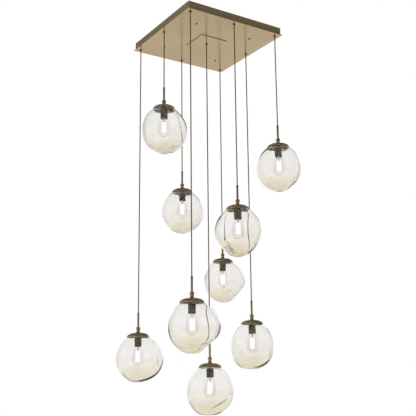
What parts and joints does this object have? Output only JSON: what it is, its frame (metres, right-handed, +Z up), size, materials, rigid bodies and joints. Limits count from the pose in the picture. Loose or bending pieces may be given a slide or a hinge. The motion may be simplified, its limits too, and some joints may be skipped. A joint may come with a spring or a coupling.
{
  "type": "cluster pendant light",
  "caption": "Square ceiling canopy with hand-blown glass globes hanging from it at stepped heights on round cords, each with a brass rod, domed cap, lampholder and filament lamp.",
  "frame": {"origin": "centre of the canopy's ceiling face, on the junction-box strap", "axes": "+Z up, square to the ceiling; X and Y along the sides of the square canopy and the rows of its port grid"},
  "size_m": [0.6956, 0.7002, 1.8141],
  "materials": {
    "canopy_finish": "satin champagne",
    "screw_black": "black oxide",
    "brass": "satin brushed brass",
    "socket_brass": "aged satin brass",
    "wiring": "matte",
    "cord": "matte round cord",
    "shade_glass": "hand-blown, clear to amber",
    "lamp_glass": "clear"
  },
  "bodies": {
    "canopy": {"canopy_frame": "canopy_finish", "canopy_plate": "canopy_finish", "access_cover": "canopy_finish", "canopy_screws": "screw_black", "cord_bushings": "brass", "canopy_wiring": "wiring"},
    "hang_1": {"cord_1": "cord"},
    "light_1": {"stem_1": "brass", "cap_1": "brass", "shade_1": "shade_glass", "socket_1": "socket_brass", "lamp_1": "lamp_glass"},
    "hang_2": {"cord_2": "cord"},
    "light_2": {"stem_2": "brass", "cap_2": "brass", "shade_2": "shade_glass", "socket_2": "socket_brass", "lamp_2": "lamp_glass"},
    "hang_3": {"cord_3": "cord"},
    "light_3": {"stem_3": "brass", "cap_3": "brass", "shade_3": "shade_glass", "socket_3": "socket_brass", "lamp_3": "lamp_glass"},
    "hang_4": {"cord_4": "cord"},
    "light_4": {"stem_4": "brass", "cap_4": "brass", "shade_4": "shade_glass", "socket_4": "socket_brass", "lamp_4": "lamp_glass"},
    "hang_5": {"cord_5": "cord"},
    "light_5": {"stem_5": "brass", "cap_5": "brass", "shade_5": "shade_glass", "socket_5": "socket_brass", "lamp_5": "lamp_glass"},
    "hang_6": {"cord_6": "cord"},
    "light_6": {"stem_6": "brass", "cap_6": "brass", "shade_6": "shade_glass", "socket_6": "socket_brass", "lamp_6": "lamp_glass"},
    "hang_7": {"cord_7": "cord"},
    "light_7": {"stem_7": "brass", "cap_7": "brass", "shade_7": "shade_glass", "socket_7": "socket_brass", "lamp_7": "lamp_glass"},
    "hang_8": {"cord_8": "cord"},
    "light_8": {"stem_8": "brass", "cap_8": "brass", "shade_8": "shade_glass", "socket_8": "socket_brass", "lamp_8": "lamp_glass"},
    "hang_9": {"cord_9": "cord"},
    "light_9": {"stem_9": "brass", "cap_9": "brass", "shade_9": "shade_glass", "socket_9": "socket_brass", "lamp_9": "lamp_glass"}
  },
  "joints": [
    {"name": "swing_1", "type": "hinge", "parent": "canopy", "child": "hang_1", "pos_m": [-0.24, 0.24, -0.041], "axis": [1, 0, 0], "range_deg": [-2.5, 2.5]},
    {"name": "turn_1", "type": "hinge", "parent": "hang_1", "child": "light_1", "pos_m": [-0.24, 0.24, -1.357], "axis": [0, 0, 1], "range_deg": [-180, 180]},
    {"name": "swing_2", "type": "hinge", "parent": "canopy", "child": "hang_2", "pos_m": [-0.24, 0, -0.041], "axis": [1, 0, 0], "range_deg": [-7, 7]},
    {"name": "turn_2", "type": "hinge", "parent": "hang_2", "child": "light_2", "pos_m": [-0.24, 0, -0.32], "axis": [0, 0, 1], "range_deg": [-180, 180]},
    {"name": "swing_3", "type": "hinge", "parent": "canopy", "child": "hang_3", "pos_m": [0, 0.24, -0.041], "axis": [1, 0, 0], "range_deg": [-4, 4]},
    {"name": "turn_3", "type": "hinge", "parent": "hang_3", "child": "light_3", "pos_m": [0, 0.24, -0.641], "axis": [0, 0, 1], "range_deg": [-180, 180]},
    {"name": "swing_4", "type": "hinge", "parent": "canopy", "child": "hang_4", "pos_m": [-0.24, -0.24, -0.041], "axis": [1, 0, 0], "range_deg": [-2.5, 2.5]},
    {"name": "turn_4", "type": "hinge", "parent": "hang_4", "child": "light_4", "pos_m": [-0.24, -0.24, -1.231], "axis": [0, 0, 1], "range_deg": [-180, 180]},
    {"name": "swing_5", "type": "hinge", "parent": "canopy", "child": "hang_5", "pos_m": [0, 0, -0.0442], "axis": [1, 0, 0], "range_deg": [-2, 2]},
    {"name": "turn_5", "type": "hinge", "parent": "hang_5", "child": "light_5", "pos_m": [0, 0, -1.497], "axis": [0, 0, 1], "range_deg": [-180, 180]},
    {"name": "swing_6", "type": "hinge", "parent": "canopy", "child": "hang_6", "pos_m": [0.24, 0.24, -0.041], "axis": [1, 0, 0], "range_deg": [-3, 3]},
    {"name": "turn_6", "type": "hinge", "parent": "hang_6", "child": "light_6", "pos_m": [0.24, 0.24, -0.979], "axis": [0, 0, 1], "range_deg": [-180, 180]},
    {"name": "swing_7", "type": "hinge", "parent": "canopy", "child": "hang_7", "pos_m": [0, -0.24, -0.041], "axis": [1, 0, 0], "range_deg": [-3.5, 3.5]},
    {"name": "turn_7", "type": "hinge", "parent": "hang_7", "child": "light_7", "pos_m": [0, -0.24, -0.814], "axis": [0, 0, 1], "range_deg": [-180, 180]},
    {"name": "swing_8", "type": "hinge", "parent": "canopy", "child": "hang_8", "pos_m": [0.24, 0, -0.041], "axis": [1, 0, 0], "range_deg": [-2.5, 2.5]},
    {"name": "turn_8", "type": "hinge", "parent": "hang_8", "child": "light_8", "pos_m": [0.24, 0, -1.301], "axis": [0, 0, 1], "range_deg": [-180, 180]},
    {"name": "swing_9", "type": "hinge", "parent": "canopy", "child": "hang_9", "pos_m": [0.24, -0.24, -0.041], "axis": [1, 0, 0], "range_deg": [-5, 5]},
    {"name": "turn_9", "type": "hinge", "parent": "hang_9", "child": "light_9", "pos_m": [0.24, -0.24, -0.494], "axis": [0, 0, 1], "range_deg": [-180, 180]}
  ]
}
